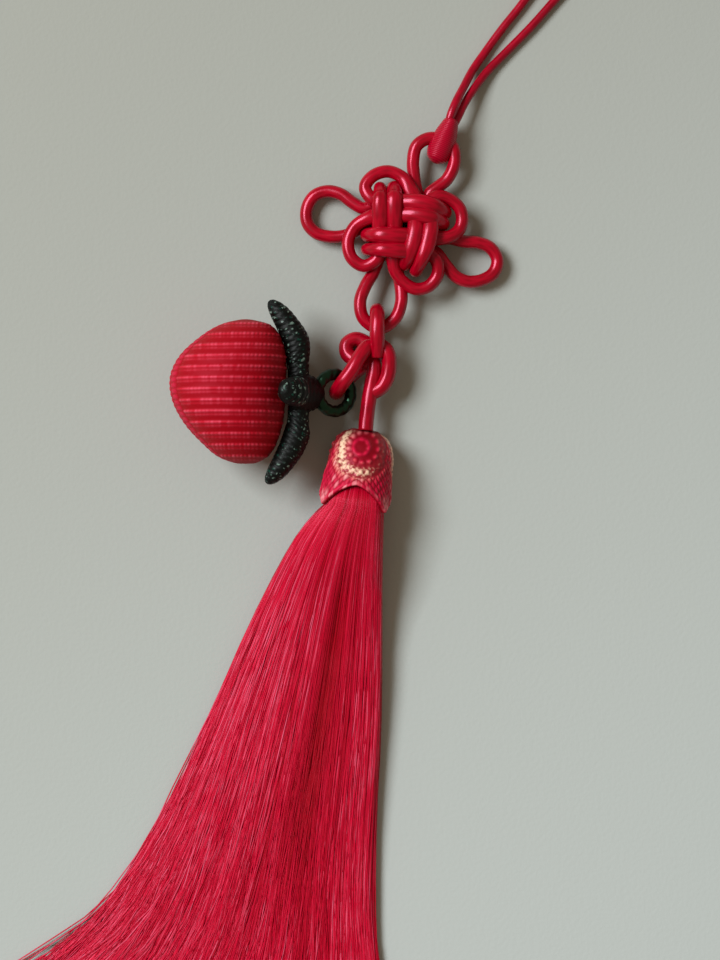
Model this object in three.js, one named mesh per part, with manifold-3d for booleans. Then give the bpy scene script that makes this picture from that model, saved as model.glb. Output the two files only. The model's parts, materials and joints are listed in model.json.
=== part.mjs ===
// Chinese knot tassel: a good-luck knot of satin cord with a hanging loop, a knotted link,
// a ribbed fruit charm on a green ring, and a long silk tassel under a macrame cap.
// It lies flat on the XY plane, face up. Lengths are in millimetres, measured from the small
// hole in the middle of the good-luck knot, and the whole group is shifted once at the end.
import * as THREE from "three";
import { mergeVertices } from "three/addons/utils/BufferGeometryUtils.js";
import Module from "manifold-3d";

const wasm = await Module();
wasm.setup();

// Driving dimensions
const CORD = 2.55; // diameter of the knotting cord
const EAR_CORD = 2.35; // the same cord, drawn tighter in the small ears
const LINK_CORD = 2.9; // diameter of the doubled, tighter cord of the link knot
const HANG_CORD = 1.7; // diameter of the thin hanging cord
const RING_CORD = 2.0; // diameter of the green ring's cord
const GAP = 0.3; // clearance between separate pieces
const FLOOR_PLAY = 0.02; // height of the lowest threads over the floor
const LAYERS = { back: 1.35, backUnder: 3.65, frontUnder: 6.25, front: 8.55 }; // strand heights
const MIDDLE = (LAYERS.back + LAYERS.front) / 2; // height of the knot's mid plane
const SPLICE = 3.8; // where a strand's two lengths meet, hidden under the next pair
const FOLD_DEPTH = 2.1; // how far a strand's fold bulges past its bend
const CENTRE = { x: -34.5, y: -82.5 }; // middle of the object's outline, without the hanging cord

// The four arms of the knot. Each is a pair of strands that runs along its direction, offset to its
// side, over one neighbour and under the next. Its folds lie behind it, and curl bends it there.
// On the back the pair comes out as a large ear, whose points run from the inner strand out.
const ARMS = {
  top: { along: [0, 1], side: [1, 0], pair: [1.8, 4.75], folds: [8.4, 9.7], curl: -0.031, ear: [
    [1.6, 8.6, 3.9], [1.3, 12.3, 4.2], [2.0, 15.4, 4.4], [4.3, 16.9, 4.4], [7.0, 16.7, 4.4],
    [9.2, 15.2, 4.4], [9.6, 12.2, 4.2], [8.2, 8.9, 3.9]] },
  left: { along: [-1, 0], side: [0, 1], pair: [1.4, 3.8], folds: [7.2, 7.7], curl: -0.03, ear: [
    [-8.6, -0.4, 3.3], [-12.2, -2.3, 2.7], [-15.5, -2.5, 2.3], [-18.2, -1.7, 2.1], [-19.9, 0.3, 2.0],
    [-20.0, 3.2, 2.0], [-18.5, 5.7, 2.1], [-15.8, 6.6, 2.4], [-13.1, 5.9, 2.9], [-10.8, 4.2, 3.3],
    [-8.5, 3.0, 3.6]] },
  bottom: { along: [0, -1], side: [-1, 0], pair: [2.5, 5.3], folds: [6.9, 6.9], curl: 0, ear: [
    [-1.9, -8.9, 3.8], [-1.2, -12.6, 4.4], [-1.1, -16.0, 4.9], [-2.4, -19.3, 5.0], [-5.5, -21.1, 5.0],
    [-8.6, -19.2, 5.0], [-9.3, -15.8, 4.9], [-8.2, -12.6, 4.4], [-6.6, -9.7, 3.8]] },
  right: { along: [1, 0], side: [0, -1], pair: [3.0, 5.9], folds: [7.9, 7.9], curl: -0.008, ear: [
    [8.6, -3.0, 3.7], [11.6, -3.6, 3.2], [14.5, -3.8, 2.8], [17.0, -4.9, 2.5], [18.3, -7.3, 2.4],
    [17.5, -9.8, 2.5], [15.1, -11.3, 2.7], [12.3, -11.6, 3.0], [9.9, -10.6, 3.4], [7.9, -8.4, 3.7]] },
};

// The small ears in the corners, on the front. Each joins one arm's outer strand to the inner
// strand of the next arm.
const CORNERS = [
  { from: "left", to: "top", ear: [
    [-7.0, 4.7, 6.0], [-8.3, 7.0, 5.5], [-6.7, 9.3, 5.3], [-3.7, 10.2, 5.2], [-0.8, 8.9, 5.4],
    [0.6, 6.5, 6.0]] },
  { from: "top", to: "right", ear: [
    [6.3, 5.1, 6.0], [8.7, 4.5, 5.5], [10.6, 2.8, 5.3], [11.1, 0.4, 5.2], [10.3, -1.7, 5.4],
    [8.2, -3.0, 6.0]] },
  { from: "right", to: "bottom", ear: [
    [5.9, -7.7, 6.0], [6.2, -10.3, 5.5], [4.5, -12.7, 5.3], [1.8, -13.3, 5.2], [-0.9, -11.7, 5.3],
    [-2.4, -9.5, 5.5], [-2.7, -7.2, 6.0]] },
  { from: "bottom", to: "left", ear: [
    [-6.0, -7.4, 6.0], [-8.6, -8.7, 5.5], [-11.0, -7.1, 5.3], [-11.7, -3.8, 5.2], [-10.3, -0.8, 5.4],
    [-7.6, 0.8, 6.0]] },
];

// The hanging cord leaves the wrap, turns back in a loop and goes into the wrap again.
const HANG_ROUTE = [
  [8.9, 21.7, 5.4], [9.9, 24.2, 5.0], [11.4, 27.2, 3.4], [13.4, 31.1, 1.8], [15.9, 34.8, 1.0],
  [19.4, 39.6, 0.9], [23.3, 44.5, 0.9], [27.4, 50.3, 0.9], [31.0, 57.0, 0.9], [33.6, 64.4, 0.9],
  [34.9, 71.2, 0.9], [37.6, 76.4, 0.9], [42.0, 77.2, 0.9], [44.0, 73.4, 0.9], [42.9, 67.0, 0.9],
  [39.6, 58.6, 0.9], [34.9, 51.2, 0.9], [29.2, 44.5, 0.9], [25.3, 40.1, 0.9], [20.2, 34.9, 0.9],
  [16.6, 31.2, 1.2], [13.9, 27.7, 2.1], [11.7, 24.2, 3.2], [10.2, 21.1, 3.6]];

// The thread wrap round the neck: distance along it, half width and half height.
const WRAP_AXIS = { start: [9.2, 21.0, 4.5], end: [5.7, 12.0, 3.9] };
const WRAP = [
  { along: 0, wide: 1.35, high: 1.95 }, { along: 0.12, wide: 1.6, high: 2.2 },
  { along: 0.35, wide: 2.2, high: 2.8 }, { along: 0.6, wide: 2.5, high: 2.9 },
  { along: 0.85, wide: 2.45, high: 2.6 }, { along: 0.95, wide: 2.1, high: 2.1 },
  { along: 1, wide: 1.3, high: 1.3 }];

// The strands of the link knot, drawn tight together.
const LINK_STRANDS = {
  loop: [
    [-5.9, -26.6, 6.6], [-5.9, -24.0, 7.9], [-5.9, -21.1, 8.2], [-5.9, -18.5, 7.3], [-5.9, -17.6, 5.0],
    [-5.9, -18.6, 2.6], [-5.9, -21.3, 1.75], [-5.9, -24.6, 1.8], [-5.9, -27.4, 2.2]],
  leftLobe: [
    [-5.0, -25.8, 3.4], [-7.6, -24.2, 2.5], [-10.1, -23.1, 2.1], [-11.9, -24.1, 2.2], [-11.9, -26.0, 2.6],
    [-10.2, -27.4, 3.4], [-7.8, -28.0, 4.4], [-5.4, -28.4, 4.6]],
  slant: [
    [-5.6, -26.8, 3.2], [-6.2, -25.4, 5.2], [-7.8, -25.0, 7.0], [-9.3, -26.9, 8.0], [-10.9, -29.6, 8.4],
    [-12.8, -32.2, 7.8], [-14.1, -33.9, 5.1], [-13.6, -33.5, 2.4], [-11.8, -31.2, 1.7],
    [-9.6, -29.1, 1.6], [-7.6, -27.8, 2.0]],
  rightLobe: [
    [-6.4, -25.6, 5.0], [-5.0, -24.8, 6.0], [-3.8, -26.1, 6.4], [-3.5, -28.5, 6.2], [-3.9, -31.0, 6.0],
    [-5.1, -33.0, 5.8], [-6.8, -34.0, 5.5]],
  stem: [
    [-6.8, -26.6, 4.6], [-6.5, -29.2, 5.2], [-7.0, -32.4, 5.5], [-7.6, -36.0, 5.7], [-8.0, -39.0, 5.9],
    [-8.2, -41.6, 6.0]],
};

// The green ring hangs from the calyx and tips down towards the link knot.
const RING = { x: -14.4, y: -34.1, z: 6.1, radius: 3.7, tip: THREE.MathUtils.degToRad(29) };

// The fruit charm in rows from top to bottom: its left and right edges and its half depth.
const FRUIT_HEIGHT = 10.3; // height of its axis over the floor
const FRUIT_RIBS = 13;
const RIB_RELIEF = 0.28; // how far a rib stands out, and how far the furrow beside it lies in
const FRUIT = [
  { y: -19.9, left: -33.6, right: -30.2, deep: 1.6 }, { y: -20.7, left: -36.6, right: -27.3, deep: 4.4 },
  { y: -22.5, left: -39.9, right: -25.3, deep: 7.2 }, { y: -26.0, left: -44.1, right: -24.0, deep: 9.6 },
  { y: -29.4, left: -46.3, right: -23.8, deep: 10.7 }, { y: -32.8, left: -46.9, right: -23.9, deep: 11.0 },
  { y: -36.8, left: -46.0, right: -23.9, deep: 10.7 }, { y: -41.0, left: -43.5, right: -24.0, deep: 9.4 },
  { y: -44.8, left: -39.9, right: -25.3, deep: 6.9 }, { y: -46.9, left: -37.3, right: -27.2, deep: 4.4 },
  { y: -48.1, left: -34.2, right: -29.8, deep: 1.6 }];

// The calyx: a dark hub with four leaves that curl round the fruit's shoulder. Leaf rows run from
// root to tip: reach away from the fruit's axis, place along X, half breadth and half thickness.
const HUB = { y: -34.3, z: FRUIT_HEIGHT, back: -23.4, nose: -16.3, radius: 4.3, slim: 0.86,
  droop: 3.0 };
const LEAF = [
  { out: 5.2, x: -21.2, broad: 2.4, thick: 1.9 }, { out: 7.0, x: -21.2, broad: 2.8, thick: 2.0 },
  { out: 10.0, x: -21.6, broad: 2.9, thick: 2.0 }, { out: 13.2, x: -23.4, broad: 2.7, thick: 1.9 },
  { out: 16.2, x: -25.5, broad: 2.1, thick: 1.6 }, { out: 18.1, x: -27.1, broad: 1.1, thick: 0.9 }];
const LEAF_LEAN = 0.45; // how far a leaf's outer face leans away from the hub
const LEAVES = [
  { name: "leaf_upper", turn: 90, reach: 1 }, { name: "leaf_front", turn: 0, reach: 0.5 },
  { name: "leaf_lower", turn: 270, reach: 0.97 }, { name: "leaf_under", turn: 180, reach: 0.38 }];

// The tassel's cap, a cone of three panels lying on its side, from the stem to the mouth. Its
// knotted rows stand out by the relief, and its own weight presses it a little into the floor.
const CAP = { start: [-8.3, -41.4], end: [-10.6, -57.0], wall: 0.9, points: 3, notch: 4.6,
  arch: 1.5, rows: 5, slant: 1.2, plainTop: 0.12, relief: 0.22, press: 0.2 };
const CAP_LENGTH = Math.hypot(CAP.end[0] - CAP.start[0], CAP.end[1] - CAP.start[1]);
const CAP_ROWS = [
  { along: 0, radius: 2.6 }, { along: 0.06, radius: 4.2 }, { along: 0.16, radius: 5.5 },
  { along: 0.3, radius: 6.2 }, { along: 0.55, radius: 6.6 }, { along: 0.8, radius: 7.0 },
  { along: 1, radius: 7.35 }];
const SOCKET = 7; // depth of the mouth, which holds the head of the skirt
const STEM_PLAY = 2.5 * GAP; // how much wider than the stem its hole is

// The silk skirt: locks in flat cells that leave the cap as a round bundle and fan out over the
// floor. Headings are degrees left of straight down, and depths are the heap's thickness.
// A lock fills its cell by the share full, and by the share tip at its cut end. The heap keeps the
// share edge of its thickness at its edges, and uneven is the share by which locks differ in length.
const SKIRT = { columns: 22, layers: 3, head: 5.0, bundle: 5.95, settle: 26, full: 0.86, tip: 0.5,
  edge: 0.45, uneven: 0.03 };
const LOCK_STATIONS = [-4.8, 0.3, 8, 21, 46, 84, 129]; // distances from the mouth along a lock
const FAN = [
  { run: 0, left: 41, right: 2, deepLeft: 9, deepRight: 11 },
  { run: 10, left: 34, right: 1, deepLeft: 6, deepRight: 9.5 },
  { run: 20, left: 29, right: 0, deepLeft: 4.4, deepRight: 7.8 },
  { run: 32, left: 24, right: 1, deepLeft: 3.8, deepRight: 7.0 },
  { run: 45, left: 23, right: 3, deepLeft: 3.0, deepRight: 5.6 },
  { run: 60, left: 26, right: 2.5, deepLeft: 2.7, deepRight: 4.9 },
  { run: 75, left: 31, right: -1, deepLeft: 2.3, deepRight: 4.2 },
  { run: 88, left: 38, right: -5, deepLeft: 2.0, deepRight: 3.6 },
  { run: 100, left: 51, right: -6, deepLeft: 1.9, deepRight: 3.2 },
  { run: 130, left: 58, right: -5, deepLeft: 1.6, deepRight: 2.6 }];
const FAN_CURVE = 1.5; // how strongly the spread gathers at the left edge

const RED_CORD = new THREE.MeshStandardMaterial({ color: 0xb5142b, roughness: 0.45, metalness: 0 });
const RED_WEAVE = new THREE.MeshStandardMaterial({ color: 0xb81830, roughness: 0.6, metalness: 0 });
const RED_SILK = new THREE.MeshStandardMaterial({ color: 0xc02038, roughness: 0.4, metalness: 0 });
const DARK_GREEN = new THREE.MeshStandardMaterial({ color: 0x14231c, roughness: 0.5, metalness: 0 });

const lerp = THREE.MathUtils.lerp;
const smooth = THREE.MathUtils.smoothstep;
const vector = (point) => new THREE.Vector3(...point);

// Value of one named column at a place along a table, eased between its rows.
function column(rows, key, at, name) {
  const last = rows.length - 1;
  let i = 0;
  while (i < last - 1 && (at - rows[i + 1][key]) * (rows[last][key] - rows[0][key]) > 0) i += 1;
  const share = (at - rows[i][key]) / (rows[i + 1][key] - rows[i][key]);
  return lerp(rows[i][name], rows[i + 1][name], THREE.MathUtils.clamp(share, 0, 1));
}

// Keeps only the places of the corners, welds them and turns the faces outwards.
function plain(geometry) {
  geometry.deleteAttribute("normal");
  geometry.deleteAttribute("uv");
  const welded = mergeVertices(geometry, 1e-4);
  const place = welded.attributes.position;
  const index = welded.index.array;
  const [a, b, c] = [new THREE.Vector3(), new THREE.Vector3(), new THREE.Vector3()];
  let volume = 0;
  for (let i = 0; i < index.length; i += 3) {
    a.fromBufferAttribute(place, index[i]);
    b.fromBufferAttribute(place, index[i + 1]);
    c.fromBufferAttribute(place, index[i + 2]);
    volume += a.dot(b.cross(c));
  }
  if (volume < 0) {
    for (let i = 0; i < index.length; i += 3) [index[i], index[i + 1]] = [index[i + 1], index[i]];
  }
  return welded;
}

// A round cord along hand-placed points.
function tube(points, diameter, sides, step) {
  const path = new THREE.CatmullRomCurve3(points.map(vector));
  const corners = Array.from({ length: sides }, (_, i) => {
    const angle = (2 * Math.PI * i) / sides;
    return new THREE.Vector2((diameter / 2) * Math.cos(angle), (diameter / 2) * Math.sin(angle));
  });
  const steps = Math.ceil(path.getLength() / step);
  return plain(new THREE.ExtrudeGeometry(new THREE.Shape(corners),
    { extrudePath: path, steps, bevelEnabled: false }));
}

// A closed skin whose corners are placed by a rule: t along it, the angle round it, and r, which
// is 1 on its side and 0 in the middle of its two ends.
function shaped(sides, steps, place) {
  const geometry = new THREE.CylinderGeometry(1, 1, 1, sides, steps);
  const position = geometry.attributes.position;
  for (let i = 0; i < position.count; i += 1) {
    const [x, y, z] = [position.getX(i), position.getY(i), position.getZ(i)];
    position.setXYZ(i, ...place(y + 0.5, Math.atan2(z, x), Math.hypot(x, z)));
  }
  return plain(geometry);
}

function solid(geometry) {
  return new wasm.Manifold(new wasm.Mesh({
    numProp: 3,
    vertProperties: new Float32Array(geometry.attributes.position.array),
    triVerts: new Uint32Array(geometry.index.array),
  }));
}

function surface(manifold) {
  const mesh = manifold.getMesh();
  const geometry = new THREE.BufferGeometry();
  geometry.setAttribute("position", new THREE.BufferAttribute(mesh.vertProperties, 3));
  geometry.setIndex(new THREE.BufferAttribute(mesh.triVerts, 1));
  return geometry;
}

const joined = (geometries) => geometries.map(solid).reduce((all, one) => all.add(one));

// One strand of a pair: from its splice on the front, round the fold, over the back and out.
function strandOfArm(arm, which) {
  const { back, backUnder, frontUnder, front } = LAYERS;
  const fold = arm.folds[which];
  const turn = fold - FOLD_DEPTH;
  const stations = [
    [SPLICE, frontUnder], [1.4, 7.2], [-1.8, 8.4], [-4.4, front], [-turn, 7.9], [-fold, MIDDLE],
    [-turn, 2.0], [-4.4, back], [-1.8, 1.6], [0.8, 2.4], [3.4, backUnder], [5.8, 3.8]];
  return stations.map(([run, height]) => {
    const aside = arm.pair[which] + arm.curl * Math.min(run, 0) ** 2;
    return [0, 1].map((axis) => arm.along[axis] * run + arm.side[axis] * aside).concat(height);
  });
}

// The whole cord of an arm: in along one strand, round its large ear and back along the other.
function armCord(arm, diameter) {
  return tube([...strandOfArm(arm, 0), ...arm.ear, ...strandOfArm(arm, 1).reverse()],
    diameter, 8, 2.8);
}

function luckyKnot() {
  const large = Object.values(ARMS).map((arm) => armCord(arm, CORD));
  const small = CORNERS.map(({ from, to, ear }) => tube([
    strandOfArm(ARMS[from], 1)[0], ...ear, strandOfArm(ARMS[to], 0)[0],
  ], EAR_CORD, 8, 2.2));
  return joined([...large, ...small]);
}

function neckWrap() {
  const [start, end] = [vector(WRAP_AXIS.start), vector(WRAP_AXIS.end)];
  const axis = end.clone().sub(start).setZ(0).normalize();
  const skin = shaped(14, 9, (t, angle, r) => {
    const wide = column(WRAP, "along", t, "wide") * r * Math.cos(angle);
    const high = column(WRAP, "along", t, "high") * r * Math.sin(angle);
    const point = start.clone().lerp(end, t);
    return [point.x - axis.y * wide, point.y + axis.x * wide, point.z + high];
  });
  return solid(skin).subtract(solid(armCord(ARMS.top, CORD + 2 * GAP)));
}

function linkKnot() {
  return joined(Object.values(LINK_STRANDS).map((points) => tube(points, LINK_CORD, 8, 2)));
}

function fruitRing(diameter) {
  const geometry = plain(new THREE.TorusGeometry(RING.radius, diameter / 2, 8, 22));
  geometry.rotateY(RING.tip);
  geometry.translate(RING.x, RING.y, RING.z);
  return geometry;
}

// Ribs run across the fruit, and its lowest corners are pressed flat on the floor.
function fruitBody() {
  const [top, bottom] = [FRUIT[0].y, FRUIT[FRUIT.length - 1].y];
  const samples = 2 * FRUIT_RIBS + 1;
  return shaped(26, samples, (t, angle, r) => {
    const y = lerp(bottom, top, t);
    const at = (name) => column(FRUIT, "y", y, name);
    const rib = Math.round(t * samples) % 2 ? RIB_RELIEF : -RIB_RELIEF;
    const half = (at("right") - at("left")) / 2;
    const middle = (at("right") + at("left")) / 2;
    const x = middle + (half + rib) * r * Math.cos(angle);
    return [x, y, Math.max(0, FRUIT_HEIGHT + (at("deep") + rib) * r * Math.sin(angle))];
  });
}

// The hub is a round button whose nose holds the ring in a tunnel.
function calyxHub() {
  const button = shaped(14, 6, (t, angle, r) => {
    const bulge = HUB.radius * Math.sqrt(1 - HUB.slim * t * t) * r;
    return [lerp(HUB.back, HUB.nose, t), HUB.y + bulge * Math.cos(angle),
      HUB.z - HUB.droop * smooth(t, 0.35, 1) + bulge * Math.sin(angle)];
  });
  return solid(button).subtract(solid(fruitRing(RING_CORD + 2 * GAP)));
}

// A leaf stands out from the hub in its own direction round the fruit's axis.
function leaf({ turn, reach }) {
  const round = THREE.MathUtils.degToRad(turn);
  const last = LEAF.length - 1;
  return shaped(10, 10, (t, angle, r) => {
    const row = (name) => column(LEAF, "out", lerp(LEAF[0].out, LEAF[last].out, t), name);
    const out = LEAF[0].out + GAP + (lerp(LEAF[0].out, LEAF[last].out, t) - LEAF[0].out) * reach;
    const curl = LEAF[0].x + (row("x") - LEAF[0].x) * reach;
    const broad = row("broad") * r * Math.sin(angle);
    const thick = row("thick") * r * Math.cos(angle);
    const away = out + thick * LEAF_LEAN;
    return [curl + thick, HUB.y + away * Math.sin(round) + broad * Math.cos(round),
      Math.max(0, HUB.z + away * Math.cos(round) - broad * Math.sin(round))];
  });
}

// Place on the cap's skin: the share of its length, the angle round it and the radius there.
function onCap(along, angle, radius) {
  const [start, end] = [new THREE.Vector2(...CAP.start), new THREE.Vector2(...CAP.end)];
  const axis = end.clone().sub(start).normalize();
  const point = start.clone().lerp(end, along);
  const lift = Math.max(FLOOR_PLAY, column(CAP_ROWS, "along", Math.min(along, 1), "radius") - CAP.press);
  return [point.x - axis.y * radius * Math.cos(angle), point.y + axis.x * radius * Math.cos(angle),
    Math.max(0, lift + radius * Math.sin(angle))];
}

// How far the cap's edge reaches at an angle: long in the three points, short in the notches.
function capReach(angle) {
  const third = (2 * Math.PI) / CAP.points;
  const turn = (((angle - Math.PI / 2) % third) + third) % third;
  const aside = 1 - Math.abs(turn / third - 0.5) * 2;
  return 1 - (CAP.notch / CAP_LENGTH) * (1 - aside ** CAP.arch);
}

function tasselCap(stem) {
  const skin = shaped(30, 14, (t, angle, r) => {
    const radius = column(CAP_ROWS, "along", t, "radius");
    const chevron = Math.cos(2 * Math.PI * t * (CAP.rows + CAP.slant * (capReach(angle) - 1)));
    const raised = radius + (t > CAP.plainTop && t < 1 ? CAP.relief * chevron : 0);
    return onCap(t * lerp(1, capReach(angle), smooth(t, 0.35, 1)), angle, raised * r);
  });
  const mouth = shaped(24, 2, (t, angle, r) => {
    const along = lerp(1 - SOCKET / CAP_LENGTH, 1.15, t);
    const radius = column(CAP_ROWS, "along", Math.min(1, along), "radius") - CAP.wall;
    return onCap(along, angle, radius * r);
  });
  const last = stem[stem.length - 1];
  const deeper = [last[0], last[1] - 2 * GAP, last[2]];
  const socket = solid(tube([...stem, deeper], LINK_CORD + STEM_PLAY, 10, 2));
  return solid(skin).subtract(solid(mouth)).subtract(socket);
}

// Where a thread of the skirt lies: u across from right (0) to left (1), v up through the heap
// (-1 to 1), and run, the distance along it from the cap's mouth, negative inside the cap.
function thread(u, v, run) {
  const [start, end] = [new THREE.Vector2(...CAP.start), new THREE.Vector2(...CAP.end)];
  const axis = end.clone().sub(start).normalize();
  const bundle = lerp(SKIRT.head, SKIRT.bundle, smooth(run, LOCK_STATIONS[0], 0));
  const across = bundle * (1 - 2 * u);
  const inside = Math.min(run, 0);
  let x = end.x - axis.y * across + axis.x * inside;
  let y = end.y + axis.x * across + axis.y * inside;
  const share = Math.pow(u, FAN_CURVE);
  const stride = 2;
  for (let at = 0; at < run; at += stride) {
    const step = Math.min(stride, run - at);
    const heading = THREE.MathUtils.degToRad(
      lerp(column(FAN, "run", at, "right"), column(FAN, "run", at, "left"), share));
    x -= Math.sin(heading) * step;
    y -= Math.cos(heading) * step;
  }
  const round = Math.sqrt(Math.max(0, 1 - (1 - 2 * u) ** 2));
  const bundled = CAP_ROWS[CAP_ROWS.length - 1].radius - CAP.press + bundle * round * v;
  const deep = lerp(column(FAN, "run", run, "deepRight"), column(FAN, "run", run, "deepLeft"), u);
  const heaped = FLOOR_PLAY + (deep * lerp(SKIRT.edge, 1, round) * (v + 1)) / 2;
  return [x, y, lerp(bundled, heaped, smooth(run, 0, SKIRT.settle))];
}

function tasselSkirt() {
  const { columns, layers } = SKIRT;
  const root = LOCK_STATIONS[0];
  const steps = LOCK_STATIONS.length - 1;
  const locks = [];
  for (let i = 0; i < columns; i += 1) {
    for (let j = 0; j < layers; j += 1) {
      const u = (i + 0.5) / columns;
      const v = (2 * (j + 0.5)) / layers - 1;
      const reach = 1 - SKIRT.uneven * Math.abs(Math.sin(i * 2.3 + j * 1.7));
      locks.push(shaped(4, steps, (t, angle, r) => {
        const full = lerp(SKIRT.full, SKIRT.tip, smooth(t, 0.55, 1)) * r * Math.SQRT1_2;
        return thread(u + (full / columns) * Math.cos(angle + Math.PI / 4),
          v + ((2 * full) / layers) * Math.sin(angle + Math.PI / 4),
          LOCK_STATIONS[Math.round(t * steps)] * (t < 0.5 ? 1 : reach));
      }));
    }
  }
  const plug = shaped(24, 1, (t, angle, r) => {
    const along = 1 + lerp(GAP - SOCKET, root + 0.8, t) / CAP_LENGTH;
    const radius = column(CAP_ROWS, "along", along, "radius") - CAP.wall - GAP;
    return onCap(along, angle, radius * r);
  });
  return joined([plug, ...locks]);
}

const group = new THREE.Group();

function addPiece(name, geometry, material) {
  const mesh = new THREE.Mesh(geometry, material);
  mesh.name = name;
  group.add(mesh);
}

addPiece("hang_cord", tube(HANG_ROUTE, HANG_CORD, 8, 3.6), RED_CORD);
addPiece("neck_wrap", surface(neckWrap()), RED_SILK);
addPiece("lucky_knot", surface(luckyKnot()), RED_CORD);
addPiece("link_knot", surface(linkKnot()), RED_CORD);
addPiece("fruit_ring", fruitRing(RING_CORD), DARK_GREEN);
addPiece("fruit_body", fruitBody(), RED_WEAVE);
addPiece("calyx_hub", surface(calyxHub()), DARK_GREEN);
for (const row of LEAVES) addPiece(row.name, leaf(row), DARK_GREEN);
addPiece("tassel_cap", surface(tasselCap(LINK_STRANDS.stem)), RED_WEAVE);
addPiece("tassel_skirt", surface(tasselSkirt()), RED_SILK);
group.position.set(-CENTRE.x, -CENTRE.y, 0);

export default group;
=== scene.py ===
"""A Chinese knot tassel, dressed for its picture: satin cord, knotted macrame and silk thread.

Lengths are in millimetres, measured from the small hole in the middle of the good-luck knot, as
in the part's source. They become metres in the row frame when a mesh is made.
"""
import json
import math

import bpy
import numpy as np
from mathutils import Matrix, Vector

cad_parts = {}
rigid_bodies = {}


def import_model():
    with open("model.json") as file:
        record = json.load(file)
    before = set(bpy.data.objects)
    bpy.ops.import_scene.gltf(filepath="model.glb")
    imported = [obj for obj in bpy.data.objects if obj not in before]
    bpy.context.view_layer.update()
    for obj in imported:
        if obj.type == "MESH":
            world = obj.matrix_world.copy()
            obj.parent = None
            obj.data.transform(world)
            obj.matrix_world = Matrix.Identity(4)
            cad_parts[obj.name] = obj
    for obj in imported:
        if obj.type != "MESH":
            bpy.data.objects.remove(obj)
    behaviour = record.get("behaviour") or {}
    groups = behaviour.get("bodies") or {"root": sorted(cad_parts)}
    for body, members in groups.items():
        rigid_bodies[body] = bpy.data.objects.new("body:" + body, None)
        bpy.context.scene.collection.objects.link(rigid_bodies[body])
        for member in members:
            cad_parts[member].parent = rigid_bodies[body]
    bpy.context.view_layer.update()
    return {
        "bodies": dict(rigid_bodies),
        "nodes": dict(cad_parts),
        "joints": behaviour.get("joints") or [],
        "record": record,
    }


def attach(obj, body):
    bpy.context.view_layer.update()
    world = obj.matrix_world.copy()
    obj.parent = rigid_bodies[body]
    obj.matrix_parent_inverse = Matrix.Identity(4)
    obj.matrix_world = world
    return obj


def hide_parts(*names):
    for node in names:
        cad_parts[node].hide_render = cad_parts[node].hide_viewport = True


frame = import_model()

MM = 0.001
SHIFT = np.array([34.5, 82.5, 0.0])  # from the knot's middle to the row frame's origin
SEED = 11
TAU = 2 * math.pi

# The photograph's frame, seen from straight above
PHOTO_HEIGHT = 960  # pixels
PIXEL = 0.2  # millimetres a pixel, at the knot's height
VIEW_CENTRE = (-9.32, -51.48)
CAMERA_HEIGHT = 450.0
KNOT_HEIGHT = 5.0
SENSOR = 36.0

# The studio: a floor, a window at the upper left and an even sky
FLOOR_REACH, FLOOR_DROP = 1200.0, 0.02
WINDOW_PLACE, WINDOW_TARGET, WINDOW_SIZE = (-700, 290, 860), (-10, -45, 0), (620, 460)
WINDOW_POWER, WINDOW_COLOUR = 15.7, (0.94, 0.98, 1.0)
SKY_COLOUR, SKY_STRENGTH = (1.0, 0.84, 0.62, 1), 0.27

# Diameters of the cords
CORD = 2.55
LINK_CORD = 3.0
HANG_CORD = 1.7
RING_CORD = 2.2

# Heights of the good-luck knot's strands, from its back to its front
BACK, BACK_UNDER, MIDDLE, FRONT_UNDER, FRONT = 1.35, 3.65, 4.95, 6.25, 8.55
SPLICE = 3.8  # where a strand starts on the front, hidden under the next pair
FOLD_DEPTH = 2.1  # how far a strand's fold bulges past its bend
KNOT_BODY = (5.5, 9.5)  # distances from the middle between which the knot's body ends
PRESSED_WIDE, PRESSED_FLAT = 0.3, 0.08  # how much wider and flatter the cord is in the body

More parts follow.
